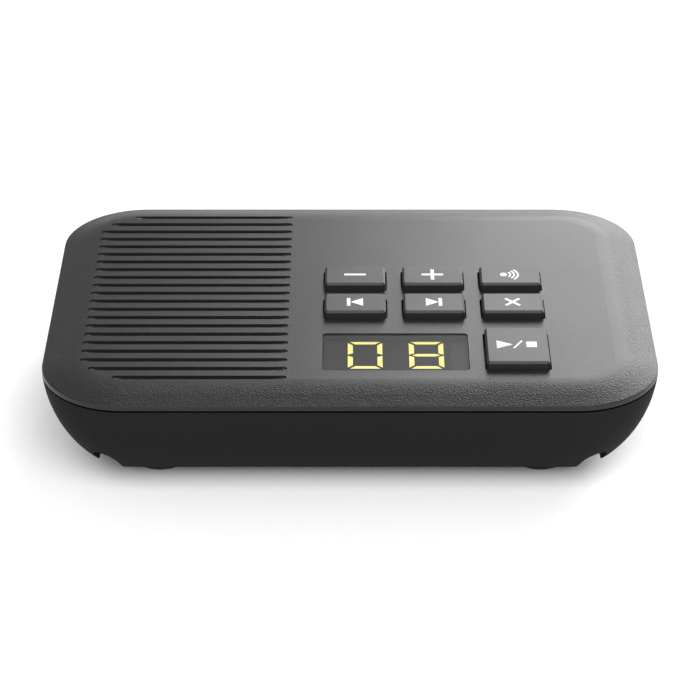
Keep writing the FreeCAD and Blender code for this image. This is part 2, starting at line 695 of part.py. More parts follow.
def segment_outlines(digit_x):
    """The seven segments of one digit by name: six mitred bars around its sides, and a bar with
    pointed ends across its middle."""
    side, end, stroke = "digit_width / 2", "digit_height / 2", "segment_width"
    tip = "(%s - segment_tip)" % side
    flat = [
        ("(%s - segment_corner)" % side, "(%s)" % end),
        ("(segment_corner - %s)" % side, "(%s)" % end),
        ("(segment_corner + %s - %s)" % (stroke, side), "(%s - %s)" % (end, stroke)),
        ("(%s - %s - segment_corner)" % (side, stroke), "(%s - %s)" % (end, stroke)),
    ]
    upright = [
        ("(%s)" % side, "(%s - segment_corner)" % end),
        ("(%s - %s)" % (side, stroke), "(%s - %s - segment_corner)" % (end, stroke)),
        ("(%s - %s)" % (side, stroke), "(segment_waist + %s / 2)" % stroke),
        ("(%s)" % side, "segment_waist"),
    ]
    pointed = [
        (tip, "0"),
        ("(%s - %s)" % (tip, stroke), "(%s / 2)" % stroke),
        ("(%s - %s)" % (stroke, tip), "(%s / 2)" % stroke),
        ("(-%s)" % tip, "0"),
        ("(%s - %s)" % (stroke, tip), "(-%s / 2)" % stroke),
        ("(%s - %s)" % (tip, stroke), "(-%s / 2)" % stroke),
    ]
    shapes = {
        "top": (flat, "+", "+"),
        "bottom": (flat, "+", "-"),
        "middle": (pointed, "+", "+"),
        "upper_left": (upright, "-", "+"),
        "upper_right": (upright, "+", "+"),
        "lower_left": (upright, "-", "-"),
        "lower_right": (upright, "+", "-"),
    }
    return {name: [("(%s %s %s)" % (digit_x, across, x), "(digit_row %s %s)" % (along, y)) for x, y in corners]
            for name, (corners, across, along) in shapes.items()}


def make_display():
    """The display body, its thirteen lit segments and the one that is dark, reading 0 and 8."""
    body = new_body("display_body")
    base = sketch_on(body, "XY_Plane", "board_top")
    rectangle(base, "(digit_middle - display_length / 2)", "(digit_middle + display_length / 2)",
              "(play_row - display_depth / 2)", "(play_row + display_depth / 2)")
    pad(body, base, DISPLAY_TOP + " - board_top")
    cells = sketch_on(body, "XY_Plane", DISPLAY_TOP)
    lit = new_body("lit_segments")
    lit_sketch = sketch_on(lit, "XY_Plane", DISPLAY_TOP)
    dark = new_body("dark_segment")
    dark_sketch = sketch_on(dark, "XY_Plane", DISPLAY_TOP)
    for digit, unlit in (("(digit_middle - digit_pitch / 2)", "middle"),
                         ("(digit_middle + digit_pitch / 2)", "")):
        for name, corners in segment_outlines(digit).items():
            outline(cells, corners)
            outline(dark_sketch if name == unlit else lit_sketch, corners)
    pocket(body, cells, "segment_depth")
    pad(lit, lit_sketch, "segment_depth", down=True)
    pad(dark, dark_sketch, "segment_depth", down=True)
    keep(body, "display_body")
    keep(lit, "lit_segments")
    keep(dark, "dark_segment")


# Base shell


def flank(sketch, shrink, centre, two_sided, reach):
    """The base's section from seam to underside, drawn in by shrink. centre is the sketch's x
    of the middle or axis, and reach the half width of the outline at the seam."""
    rise = "flank_rise"
    arc_in = "sqrt(flank_radius^2 - flank_rise^2)"
    drop = "(seam_height + flank_rise - underside - belly_radius)"
    belly_across = "sqrt((flank_radius - belly_radius)^2 - %s^2)" % drop
    arc_x = "(%s - %s)" % (reach, arc_in)
    arc_z = "(seam_height + flank_rise)"
    belly_x = "(%s + %s)" % (arc_x, belly_across)
    belly_z = "(underside + belly_radius)"
    arc_radius = "(flank_radius - %s)" % shrink
    belly_round = "(belly_radius - %s)" % shrink
    share = "(%s / (flank_radius - belly_radius))" % arc_radius
    meet_x = "(%s + %s * %s)" % (arc_x, belly_across, share)
    meet_z = "(%s - %s * %s)" % (arc_z, drop, share)
    seam_x = "(%s + sqrt(%s^2 - %s^2))" % (arc_x, arc_radius, rise)
    low = "(underside + %s)" % shrink
    right = [
        (belly_x, low),
        (meet_x, meet_z, belly_round, belly_x, belly_z),
        (seam_x, "seam_height", arc_radius, arc_x, arc_z),
    ]
    if not two_sided:
        outline(sketch, right + [(centre, "seam_height"), (centre, low)])
        return
    left = [
        ("(-%s)" % seam_x, "seam_height"),
        ("(-%s)" % meet_x, meet_z, arc_radius, "(-%s)" % arc_x, arc_z),
        ("(-%s)" % belly_x, low, belly_round, "(-%s)" % belly_x, belly_z),
    ]
    outline(sketch, right + left)


def make_hull(name, shrink):
    """A solid hull, drawn in by shrink: two bars with the flank's section cross in the middle,
    and a quarter turn of the same section fills each corner."""
    body = new_body(name)
    across = sketch_on(body, "XZ_Plane")
    flank(across, shrink, "0", True, "(body_width / 2)")
    pad(body, across, "body_depth - 2 * corner_radius", both_ways=True)
    along = sketch_on(body, "YZ_Plane")
    flank(along, shrink, "0", True, "(body_depth / 2)")
    pad(body, along, "body_width - 2 * corner_radius", both_ways=True)
    for turn, (side_x, side_y) in enumerate(((1, 1), (-1, 1), (-1, -1), (1, -1))):
        sketch = sketch_on(body, "XZ_Plane")
        bind(sketch, "AttachmentOffset.Base.x", "%d * (body_width / 2 - corner_radius)" % side_x)
        bind(sketch, "AttachmentOffset.Base.z", "%d * (body_depth / 2 - corner_radius)" % -side_y)
        sketch.AttachmentOffset = FreeCAD.Placement(V(0, 0, 0), FreeCAD.Rotation(V(0, 1, 0), 90 * turn))
        flank(sketch, shrink, "0", False, "corner_radius")
        revolve(body, sketch, "90")
    return body


def channel(name, side, half_width, roof, low):
    """A cable channel, or the duct around it: across from the jack recess, along the side,
    then turned outwards to its exit in the front corner."""
    body = new_body(name)
    start = "recess_left + " + PAST if side < 0 else "recess_right - " + PAST
    outward, inward = ("-", "+") if side < 0 else ("+", "-")
    column = "(%s%s)" % ("-" if side < 0 else "", CHANNEL_SIDE)
    inner = "(%s %s channel_bend)" % (column, inward)
    turn_row = "(%s - channel_bend)" % CHANNEL_ROW

    def arch(sketch, middle):
        """The channel's section: upright sides under a half-round roof."""
        spring = "(%s - %s)" % (roof, half_width)
        near, far = "(%s - %s)" % (middle, half_width), "(%s + %s)" % (middle, half_width)
        outline(sketch, [
            (near, low),
            (far, low),
            (far, spring),
            (middle, roof, half_width, middle, spring),
            (near, spring, half_width, middle, spring),
        ])
        return sketch

    cross_run = arch(sketch_on(body, "YZ_Plane", inner), CHANNEL_ROW)
    run_length = "(%s) - %s" % (start, inner) if side < 0 else "%s - (%s)" % (inner, start)
    pad(body, cross_run, run_length, down=side > 0)
    corner = arch(sketch_on(body, "YZ_Plane", inner, turn_row), "channel_bend")
    revolve(body, corner, "90", backwards=side > 0)
    long_run = arch(sketch_on(body, "XZ_Plane", "-" + turn_row), column)
    pad(body, long_run, turn_row + " - " + EXIT_START)
    exit_middle = "(%s %s exit_bend)" % (column, outward)
    exit_turn = arch(sketch_on(body, "XZ_Plane", "-" + EXIT_START, exit_middle), "(%s exit_bend)" % inward)
    revolve(body, exit_turn, "exit_angle", backwards=side < 0)
    return body


def board_screw_places():
    left = "(board_left + board_screw_left)"
    right = "(%s - board_screw_right)" % BOARD_RIGHT
    left_end = "(%s - board_screw_left)" % BOARD_END
    right_end = "(%s - board_screw_end)" % BOARD_END
    return [(left, left_end), (left, "(-%s)" % left_end), (right, right_end), (right, "(-%s)" % right_end)]


def foot_places():
    places = []
    for end, sign_y in (("front", "-"), ("rear", "")):
        for side, sign_x in (("left", "-"), ("right", "")):
            x, y = "(%s%s)" % (sign_x, FOOT_ACROSS), "(%s%s)" % (sign_y, FOOT_ALONG)
            places.append((end + "_" + side, x, y))
    return places


def keyhole(number, side, floor_below):
    """A wall keyhole: the block that closes its room off inside, and the holes cut in it. The
    screw's head enters the round end, and its shank slides along the slot towards the rear."""
    half = "(keyhole_radius + keyhole_side)"
    end = "(%s + keyhole_travel)" % KEYHOLE_ALONG
    reach = "(keyhole_radius + wall)"
    roof = "(%s + keyhole_room)" % KEYHOLE_FLOOR
    inside = "(%s + %s)" % (KEYHOLE_FLOOR, PAST)
    block = box("keyhole_block_%d" % number, side + " - " + reach, side + " + " + reach,
                KEYHOLE_ALONG + " - " + reach, end + " + " + reach, "underside", roof + " + wall")
    holes = [
        box("keyhole_room_%d" % number, side + " - " + half, side + " + " + half,
            KEYHOLE_ALONG + " - " + half, end + " + " + half, KEYHOLE_FLOOR, roof),
        cylinder("keyhole_round_%d" % number, side, KEYHOLE_ALONG, floor_below, inside, "keyhole_radius"),
        cylinder("keyhole_end_%d" % number, side, end, floor_below, inside, "keyhole_slot / 2"),
        box("keyhole_slot_%d" % number, side + " - keyhole_slot / 2", side + " + keyhole_slot / 2",
            KEYHOLE_ALONG, end, floor_below, inside),
    ]
    return block, holes


def make_base_shell():
    """The hull less its cavity. What stands up inside the cavity is left out of the cut, so it
    never pokes through the curved flank."""
    outer = make_hull("hull", "0")
    inner = make_hull("hull_inside", "wall")
    floor_below = "(underside - %s)" % PAST
    duct_half = "(channel_width / 2 + channel_wall)"
    duct_roof = "(%s + channel_wall)" % CHANNEL_ROOF
    standing = [
        channel("duct_left", -1, duct_half, duct_roof, "underside"),
        channel("duct_right", 1, duct_half, duct_roof, "underside"),
        box("recess_block", "recess_left - wall", "recess_right + wall", RECESS_FRONT + " - wall",
            RECESS_REAR + " + wall", "underside", "recess_roof + wall"),
        cylinder("magnet_post", GRILLE_MIDDLE, GRILLE_ROW, "underside", SPEAKER_BACK + " - pad_height",
                 "pad_post"),
    ]
    openings = [
        channel("channel_left", -1, "(channel_width / 2)", CHANNEL_ROOF, floor_below),
        channel("channel_right", 1, "(channel_width / 2)", CHANNEL_ROOF, floor_below),
        box("recess_space", "recess_left", "recess_right", RECESS_FRONT, RECESS_REAR,
            floor_below, "recess_roof"),
    ]
    for name in ("jack_line", "jack_power"):
        half = "(jack_mouth / 2 + jack_fit)"
        openings.append(box(name + "_window", name + " - " + half, name + " + " + half,
                            JACK_FACE + " - " + PAST, RECESS_FRONT + " + " + PAST,
                            JACK_LOW + " + jack_fit", "recess_roof"))
    for number, side in enumerate(("(-%s)" % KEYHOLE_ACROSS, KEYHOLE_ACROSS)):
        block, holes = keyhole(number, side, floor_below)
        standing.append(block)
        openings += holes
    for number, row in enumerate(SCREW_ROWS):
        standing.append(cylinder("screw_tower_%d" % number, "screw_column", row,
                                 "underside", "post_foot - post_gap", "screw_head + wall"))
        openings.append(cylinder("screw_sink_%d" % number, "screw_column", row,
                                 floor_below, "screw_seat", "screw_head + screw_play"))
        openings.append(cylinder("screw_bore_%d" % number, "screw_column", row,
                                 floor_below, "post_foot", "screw_shank + screw_play"))
    for number, (x, y) in enumerate(board_screw_places()):
        standing.append(cylinder("board_post_%d" % number, x, y, "underside", BOARD_BOTTOM, "board_post"))
        openings.append(cylinder("board_bore_%d" % number, x, y,
                                 BOARD_BOTTOM + " - small_length", BOARD_BOTTOM + " + " + PAST,
                                 "small_shank + screw_fit"))
    for name, x, y in foot_places():
        openings.append(cylinder("foot_recess_" + name, x, y, floor_below, "underside + foot_recess",
                                 "foot_radius + foot_fit"))
    islands = fuse("islands", standing)
    cavity = cut("cavity", inner, islands)
    shell = cut("shell", outer, cavity)
    return keep(cut("base_shell", shell, fuse("base_openings", openings)), "base_shell")


def make_foot(name, x, y):
    body = new_body("foot_" + name)
    sketch = sketch_on(body, "XZ_Plane", "-" + y, x)
    outline(sketch, [
        ("0", "0"),
        ("foot_radius - foot_round", "0"),
        ("foot_radius", "foot_round", "foot_round", "foot_radius - foot_round", "foot_round"),
        ("foot_radius", "underside + foot_recess"),
        ("0", "underside + foot_recess"),
    ])
    revolve(body, sketch)
    return keep(body, "foot_" + name)


# Inside


def make_board():
    body = new_body("main_board")
    sketch = sketch_on(body, "XY_Plane", BOARD_BOTTOM)
    rounded_rectangle(sketch, "board_left", BOARD_RIGHT, "(-%s)" % BOARD_END, BOARD_END, "board_corner")
    for x, y in board_screw_places():
        circle(sketch, x, y, "small_shank + board_hole_fit")
    pad(body, sketch, "board_thickness")
    return keep(body, "main_board")


def make_jack(name, x):
    """A modular jack under the board, with its mouth towards the recess at the back."""
    body = new_body(name)
    block = sketch_on(body, "XY_Plane", JACK_LOW)
    rectangle(block, x + " - jack_width / 2", x + " + jack_width / 2",
              JACK_FACE + " - jack_length", JACK_FACE)
    pad(body, block, "jack_height")
    mouth = sketch_on(body, "XZ_Plane", "-" + JACK_FACE)
    foot = "(%s + jack_sole)" % JACK_LOW
    half = "jack_mouth / 2"
    latch_half = "latch_width / 2"
    latch = "(%s + latch_height)" % foot
    roof = "(%s + jack_mouth_height)" % latch
    outline(mouth, [
        (x + " - " + latch_half, foot),
        (x + " + " + latch_half, foot),
        (x + " + " + latch_half, latch),
        (x + " + " + half, latch),
        (x + " + " + half, roof),
        (x + " - " + half, roof),
        (x + " - " + half, latch),
        (x + " - " + latch_half, latch),
    ])
    pocket(body, mouth, "jack_bore", up=True)
    return keep(body, name)


def make_jack_contacts():
    """Four slanted spring wires in each jack, from the board side down into the mouth."""
    wires = []
    roof = "(%s + jack_sole + latch_height + jack_mouth_height)" % JACK_LOW
    start = "(%s - contact_set_back)" % JACK_FACE
    end = "(%s - contact_reach)" % start
    for name in ("jack_line", "jack_power"):
        for number in range(4):
            body = new_body("contact_%s_%d" % (name, number))
            middle = "(%s + (%g) * contact_pitch)" % (name, number - 1.5)
            sketch = sketch_on(body, "YZ_Plane", middle)
            outline(sketch, [
                (start, roof),
                (start + " - contact_width", roof),
                (end, roof + " - contact_drop + contact_width / 2"),
                (end + " + contact_width", roof + " - contact_drop"),
            ])
            pad(body, sketch, "contact_width", both_ways=True)
            wires.append(body)
    return keep(group("jack_contacts", wires), "jack_contacts")


def turned(name, x, y, corners):
    """A piece of revolution about an upright axis at (x, y)."""
    body = new_body(name)
    sketch = sketch_on(body, "XZ_Plane", "-(%s)" % y, x)
    outline(sketch, corners)
    revolve(body, sketch)
    return keep(body, name)


def make_speaker():
    """The loudspeaker with its dust cloth, foam ring and the foam pad that presses it up."""
    front = SPEAKER_FRONT
    back = SPEAKER_BACK
    magnet_top = "(%s + magnet_height)" % back
    pole_top = "(%s + pole_height)" % magnet_top
    rim = "(speaker_radius - basket_rim)"
    rim_low = "(%s - basket_sheet)" % front
    seat = "(%s - basket_depth)" % front
    cloth_low = "(%s - cloth_thickness)" % CEILING
    turned("grille_cloth", GRILLE_MIDDLE, GRILLE_ROW, [
        ("0", cloth_low),
        ("speaker_radius", cloth_low),
        ("speaker_radius", CEILING),
        ("0", CEILING),
    ])
    turned("speaker_gasket", GRILLE_MIDDLE, GRILLE_ROW, [
        ("speaker_radius - gasket_width", front),
        ("speaker_radius", front),
        ("speaker_radius", cloth_low),
        ("speaker_radius - gasket_width", cloth_low),
    ])
    turned("speaker_frame", GRILLE_MIDDLE, GRILLE_ROW, [
        ("coil_hole", magnet_top),
        ("magnet_radius + basket_sheet", magnet_top),
        (rim + " + basket_sheet", seat + " - basket_sheet / 4"),
        (rim + " + basket_sheet", rim_low),
        ("speaker_radius", rim_low),
        ("speaker_radius", front),
        (rim, front),
        (rim, seat),
        ("magnet_radius", magnet_top + " + basket_sheet"),
        ("coil_hole", magnet_top + " + basket_sheet"),
    ])
    turned("speaker_magnet", GRILLE_MIDDLE, GRILLE_ROW, [
        ("0", back),
        ("magnet_radius", back),
        ("magnet_radius", magnet_top),
        ("pole_radius", magnet_top),
        ("pole_radius", pole_top),
        ("0", pole_top),
    ])
    mouth = "(%s - 2 * surround_rise)" % front
    turned("speaker_cone", GRILLE_MIDDLE, GRILLE_ROW, [
        ("cone_throat", pole_top),
        ("cone_throat + cone_paper", pole_top),
        ("cone_mouth", mouth + " - cone_paper / 2"),
        ("cone_mouth + 2 * surround_rise", front + " - surround_rise"),
        (rim, mouth + " - cone_paper / 2"),
        (rim, mouth + " + cone_paper / 2"),
        ("cone_mouth + 2 * surround_rise", front + " - surround_rise + cone_paper"),
        ("cone_mouth", mouth + " + cone_paper / 2"),
        ("cone_throat", pole_top + " + 2 * cone_paper"),
    ])
    cap_foot = "(%s + 2 * cone_paper)" % pole_top
    turned("speaker_dust_cap", GRILLE_MIDDLE, GRILLE_ROW, [
        ("0", cap_foot + " + dust_cap_rise"),
        ("cone_throat * 2 / 3", cap_foot + " + dust_cap_rise * 2 / 3"),
        ("cone_throat", cap_foot),
        ("cone_throat", cap_foot + " - cone_paper"),
        ("cone_throat * 2 / 3", cap_foot + " + dust_cap_rise * 2 / 3 - cone_paper"),
        ("0", cap_foot + " + dust_cap_rise - cone_paper"),
    ])
    keep(cylinder("magnet_pad_disc", GRILLE_MIDDLE, GRILLE_ROW, back + " - pad_height", back, "pad_radius"),
         "magnet_pad")


def screw(name, x, y, seat, head_radius, head_height, shank_radius, length, up):
    """A pan-head screw; up says whether its shank points up from the seat."""
    if up:
        head = cylinder(name + "_head", x, y, seat + " - " + head_height, seat, head_radius)
        shank = cylinder(name + "_shank", x, y, seat, seat + " + " + length, shank_radius)
    else:
        head = cylinder(name + "_head", x, y, seat, seat + " + " + head_height, head_radius)
        shank = cylinder(name + "_shank", x, y, seat + " - " + length, seat, shank_radius)
    return fuse(name, [head, shank])


def make_screws():
    housing = [screw("housing_screw_%d" % number, "screw_column", row, "screw_seat", "screw_head",
                     "screw_head_height", "screw_shank", "screw_length", True)
               for number, row in enumerate(SCREW_ROWS)]
    keep(group("housing_screws", housing), "housing_screws")
    board = [screw("board_screw_%d" % number, x, y, "board_top", "small_head",
                   "small_head_height", "small_shank", "small_length", False)
             for number, (x, y) in enumerate(board_screw_places())]
    keep(group("board_screws", board), "board_screws")


def make_board_parts():
    """What stands on the main board, behind and beside the key mat."""
    chips_left = "(board_left + chip_left)"
    memory_rear = "(%s - shield_rear)" % BOARD_END
    amplifier_right = "(%s - amplifier_inset)" % BOARD_RIGHT
    chip_top = "board_top + chip_height"
    keep(box("shield", "board_left + shield_left", BOARD_RIGHT + " - shield_right",
             PARTS_FRONT + " + shield_front", memory_rear, "board_top", "board_top + shield_height"),
         "radio_shield")
    chips = [
        box("processor", chips_left, chips_left + " + processor_width", PARTS_FRONT,
            PARTS_FRONT + " + processor_depth", "board_top", chip_top),
        box("memory", chips_left, chips_left + " + memory_width", memory_rear + " - memory_depth",
            memory_rear, "board_top", chip_top),
        box("amplifier", amplifier_right + " - amplifier_width", amplifier_right, "0",
            "amplifier_depth", "board_top", chip_top),
    ]
    keep(group("board_chips", chips), "board_chips")
    cans = [cylinder("can_%d" % number, BOARD_RIGHT + " - can_inset", "(-can_first - %d * can_pitch)" % number,
                     "board_top", "board_top + can_height", "can_radius") for number in range(3)]
    keep(group("capacitors", cans), "capacitors")
    connector_left = "(board_left + connector_edge)"
    connector_front = "(%s + connector_edge)" % PARTS_FRONT
    keep(box("connector", connector_left, connector_left + " + connector_width", connector_front,
             connector_front + " + connector_length", "board_top", "board_top + connector_height"),
         "speaker_connector")


make_top_cover()
make_base_shell()
make_window()
make_display()
for name, column, row, depth in KEYS:
    make_key(name, column, row, depth)
for name, column, row, depth in KEYS:
    make_dome(name, column, row)
make_key_mat()
make_board()
make_board_parts()
make_jack("line_jack", "jack_line")
make_jack("power_jack", "jack_power")
make_jack_contacts()
make_speaker()
for name, x, y in foot_places():
    make_foot(name, x, y)
make_screws()
doc.recompute()

for item in doc.Objects:
    if "Invalid" in item.State or "Error" in item.State:
        raise RuntimeError("%s: %s" % (item.Label, item.State))
for item in nodes:
    if item.Shape.isNull() or not item.Shape.isValid():
        raise RuntimeError("%s has no valid shape" % item.Label)

os.makedirs("parts", exist_ok=True)
for item in nodes:
    item.Shape.exportStep("parts/%s.step" % item.Label)
    print(item.Label, len(item.Shape.Solids), "solids, volume %.1f" % item.Shape.Volume)
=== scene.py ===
"""Desk answering machine: the finish of each moulding, the signs on its keys, the silicone domes
under them and the screws below, on a pale studio floor."""

import json
import math

import bmesh
import bpy
import numpy as np
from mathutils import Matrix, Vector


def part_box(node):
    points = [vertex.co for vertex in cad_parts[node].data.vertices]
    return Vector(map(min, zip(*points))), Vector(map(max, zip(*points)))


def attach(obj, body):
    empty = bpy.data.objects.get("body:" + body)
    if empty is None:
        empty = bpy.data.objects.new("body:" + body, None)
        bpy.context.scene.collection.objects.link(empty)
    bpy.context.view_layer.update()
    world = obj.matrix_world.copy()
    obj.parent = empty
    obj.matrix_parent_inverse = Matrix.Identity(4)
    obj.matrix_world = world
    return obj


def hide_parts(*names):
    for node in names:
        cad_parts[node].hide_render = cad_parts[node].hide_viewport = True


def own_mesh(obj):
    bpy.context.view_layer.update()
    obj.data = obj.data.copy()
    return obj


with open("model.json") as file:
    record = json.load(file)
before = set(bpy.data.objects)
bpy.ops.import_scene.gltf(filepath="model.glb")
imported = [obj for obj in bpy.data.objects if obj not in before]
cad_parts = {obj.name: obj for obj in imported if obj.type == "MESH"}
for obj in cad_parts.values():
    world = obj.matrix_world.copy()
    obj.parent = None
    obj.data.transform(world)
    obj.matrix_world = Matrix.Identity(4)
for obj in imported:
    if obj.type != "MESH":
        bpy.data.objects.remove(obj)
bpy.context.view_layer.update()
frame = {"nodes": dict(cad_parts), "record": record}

bl_info = {
    "name": "Desk answering machine",
    "version": (1, 0, 0),
    "blender": (4, 5, 0),
    "location": "View3D > Sidebar > Answering machine",
    "description": "Finishes, key signs, domes and screws of a desk answering machine, with its studio stage",
    "category": "Object",
}

MM = 0.001
NODES = frame["nodes"]
KEYS = ("minus", "plus", "paging", "previous", "next", "delete", "play_stop")
HOUSING = "housing"


def linear(hex_colour):
    """An sRGB hex colour as linear red, green, blue and full alpha."""
    channels = np.array([int(hex_colour[start:start + 2], 16) for start in (1, 3, 5)]) / 255.0
    bright = ((channels + 0.055) / 1.055) ** 2.4
    return (*np.where(channels <= 0.04045, channels / 12.92, bright).tolist(), 1.0)


def colour_property(name, hex_colour, description):
    return bpy.props.FloatVectorProperty(name=name, description=description, subtype="COLOR", size=4,
                                         min=0.0, max=1.0, default=linear(hex_colour))


def length_property(name, millimetres, description):
    return bpy.props.FloatProperty(name=name, description=description, unit="LENGTH", min=0.0,
                                   precision=5, default=millimetres * MM)


# Settings


class CaseSettings(bpy.types.PropertyGroup):
    """Colours and grain of the mouldings."""

    cover: colour_property("Cover", "#1F1F20", "Top cover, dark grey ABS")
    base: colour_property("Base", "#1F1F20", "Base shell, dark grey ABS")
    key: colour_property("Keys", "#242426", "Key caps, dark grey ABS")
    window: colour_property("Window", "#29292A", "Smoked film on the display window")
    film_density: bpy.props.FloatProperty(name="Film density", subtype="FACTOR", min=0.0, max=1.0,
                                          default=0.55, description="Share of light that the film stops")
    # Strength of a painted glow: emission in the window's grey that lifts the grey print and the epoxy around
    # the digits; no lamp lights them
    scatter: bpy.props.FloatProperty(name="Scatter", min=0.0, default=2.6,
                                     description="Lamp light that the grey around a digit scatters")
    lit: colour_property("Lit segment", "#FFF08A", "Light of a lit segment")
    grain: length_property("Grain", 0.42, "Width of one pit of the spark-eroded grain")
    grain_depth: length_property("Grain depth", 0.15, "Depth of that grain")
    # Height of the middle of the band of painted shade along the seam
    seam: length_property("Seam", 24.7, "Height of the middle of the shadow groove")


class SignSettings(bpy.types.PropertyGroup):
    """Sizes of the white signs printed on the keys."""

    ink: colour_property("Ink", "#E2E2E0", "White pad-printing ink")
    film: length_property("Film", 0.02, "Thickness of the print")
    stroke: length_property("Stroke", 0.8, "Width of the minus, plus and bar strokes")
    fine_stroke: length_property("Fine stroke", 0.42, "Width of the slash and of the sound waves")
    line: length_property("Line", 5.1, "Length of the minus and plus strokes")
    arrow: length_property("Arrow height", 3.7, "Height of the arrows on the small keys")
    square: length_property("Stop square", 2.5, "Side of the stop square")


class SmallPartSettings(bpy.types.PropertyGroup):
    """Sizes of the domes and of the screws under the base."""

    silicone: colour_property("Silicone", "#B9B8B2", "Key mat and domes")
    recess: length_property("Recess", 1.7, "Half width of a screw's cross recess")
    recess_width: length_property("Recess slot", 0.62, "Width of one arm of the recess")
    recess_depth: length_property("Recess depth", 1.1, "Depth of the recess")
    thread_pitch: length_property("Thread pitch", 1.1, "Pitch of a housing screw's thread")
    thread_depth: length_property("Thread depth", 0.22, "Depth of that thread")


class StageSettings(bpy.types.PropertyGroup):
    """Camera, floor and light."""

    lens: bpy.props.FloatProperty(name="Lens", description="Focal length", unit="CAMERA", default=144.9)
    pitch: bpy.props.FloatProperty(name="Pitch", description="Camera looking down by", unit="ROTATION",
                                   default=math.radians(29.3))
    distance: length_property("Distance", 586.7, "Camera in front of the object's middle")
    height: length_property("Height", 342.2, "Camera above the floor")
    floor: colour_property("Floor", "#F7F7F7", "Pale floor")
    floor_size: length_property("Floor size", 4000.0, "Side of the floor")
    rear_light: bpy.props.FloatProperty(name="Rear soft box", default=23.0,
                                        description="Soft box behind on the right, in watts")
    front_light: bpy.props.FloatProperty(name="Front soft box", default=22.0,
                                         description="Soft box above the camera, in watts")
    ambient: bpy.props.FloatProperty(name="Ambient", description="Strength of the surroundings", default=0.48)


# Node trees


def add_node(tree, kind, settings=None, inputs=None):
    """Add one node, set its properties, and fill its inputs with values or other nodes' outputs."""
    added = tree.nodes.new(kind)
    for name, setting in (settings or {}).items():
        setattr(added, name, setting)
    for name, source in (inputs or {}).items():
        if isinstance(source, bpy.types.NodeSocket):
            tree.links.new(source, added.inputs[name])
        else:
            added.inputs[name].default_value = source
    return added


def new_material(name, shader_inputs):
    """A material with one Principled shader; the inputs may be values only."""
    material = bpy.data.materials.new(name)
    material.use_nodes = True
    tree = material.node_tree
    tree.nodes.clear()
    shader = add_node(tree, "ShaderNodeBsdfPrincipled", inputs=shader_inputs)
    add_node(tree, "ShaderNodeOutputMaterial", inputs={"Surface": shader.outputs["BSDF"]})
    return material, tree, shader


def object_noise(tree, width, detail=2.0, stretch=(1.0, 1.0, 1.0)):
    """Noise on Object coordinates with cells of a real width in metres, drawn out by stretch."""
    place = add_node(tree, "ShaderNodeTexCoord")
    mapped = add_node(tree, "ShaderNodeMapping", inputs={"Vector": place.outputs["Object"], "Scale": stretch})
    return add_node(tree, "ShaderNodeTexNoise", inputs={
        "Vector": mapped.outputs["Vector"], "Scale": 1.0 / width, "Detail": detail, "Roughness": 0.55})


def mix_colours(tree, factor, first, second):
    """The Mix node's colour sockets are its inputs 6 and 7 and its output 2."""
    mixed = add_node(tree, "ShaderNodeMix", {"data_type": "RGBA"}, {0: factor, 6: first, 7: second})
    return mixed.outputs[2]


def calculate(tree, operation, *values):
    """The result of one Math node."""
    added = add_node(tree, "ShaderNodeMath", {"operation": operation}, dict(enumerate(values)))
    return added.outputs["Value"]


def position(tree, kind="Object"):
    """The X, Y and Z of Object coordinates, or of the surface's Normal in the object's frame."""
    place = add_node(tree, "ShaderNodeTexCoord")
    return add_node(tree, "ShaderNodeSeparateXYZ", inputs={"Vector": place.outputs[kind]}).outputs


def vary(tree, shader, noise, colour, spread, roughness, rough_spread):
    """Let a noise move the colour's brightness and the roughness a little about their values."""
    darker = [channel * (1.0 - spread) for channel in colour[:3]] + [1.0]
    lighter = [min(1.0, channel * (1.0 + spread)) for channel in colour[:3]] + [1.0]
    tree.links.new(mix_colours(tree, noise, darker, lighter), shader.inputs["Base Color"])
    rough = add_node(tree, "ShaderNodeMapRange", inputs={
        "Value": noise, "To Min": roughness - rough_spread, "To Max": roughness + rough_spread})
    tree.links.new(rough.outputs["Result"], shader.inputs["Roughness"])


def emboss(tree, shader, height, depth):
    """Raise and sink the surface by a height pattern, depth metres from lowest to highest."""
    bump = add_node(tree, "ShaderNodeBump", inputs={"Height": height, "Distance": depth, "Strength": 1.0})
    tree.links.new(bump.outputs["Normal"], shader.inputs["Normal"])


def grained_plastic(name, colour, roughness, width, depth, spread=0.06, gloss=0.5):
    """Moulded plastic from a spark-eroded tool: a fine, even grain of pits, and slow patches of
    slightly different sheen where the melt cooled differently."""
    material, tree, shader = new_material(name, {"IOR": 1.53, "Specular IOR Level": gloss})
    patches = object_noise(tree, 60 * width)
    vary(tree, shader, patches.outputs["Fac"], colour, spread, roughness, 0.03)
    pits = object_noise(tree, width, 3.0)
    emboss(tree, shader, pits.outputs["Fac"], depth)
    return material


def paint_seam_shade(material, middle):
    """Paint shade on the faces whose height is within half the shadow groove of its middle: a near-black
    painted shade in the groove between cover and base.
    """
    half_groove = 0.23 * MM
    tree = material.node_tree
    shader = tree.nodes["Principled BSDF"]
    seam_shade_band = calculate(tree, "COMPARE", position(tree)["Z"], middle, half_groove)
    grained = shader.inputs["Base Color"].links[0].from_socket
    # Painted shade: near-black mixed into the colour inside the seam band, standing in for the shade in the
    # groove
    tree.links.new(mix_colours(tree, seam_shade_band, grained, linear("#050505")), shader.inputs["Base Color"])
    return material


# One function for each material


def cover_abs(case):
    """ABS moulded in a spark-eroded tool: satin, with a grain that breaks up reflections. The tool
    was eroded deeper on the sloping rim than on the flat top, so the rim sparkles and the top is calm."""
    plastic = grained_plastic("cover_grained_abs", case.cover, 0.34, case.grain, case.grain_depth, gloss=0.22)
    tree = plastic.node_tree
    # Upward part of the surface's normal where the flat top ends and where the rim has its full grain
    top_upward, rim_upward, top_strength = 0.999, 0.985, 0.25
    rim = add_node(tree, "ShaderNodeMapRange", inputs={
        "Value": position(tree, "Normal")["Z"], "From Min": top_upward, "From Max": rim_upward,
        "To Min": top_strength, "To Max": 1.0})
    tree.links.new(rim.outputs["Result"], tree.nodes["Bump"].inputs["Strength"])
    # Painted shade along the seam groove
    return paint_seam_shade(plastic, case.seam)


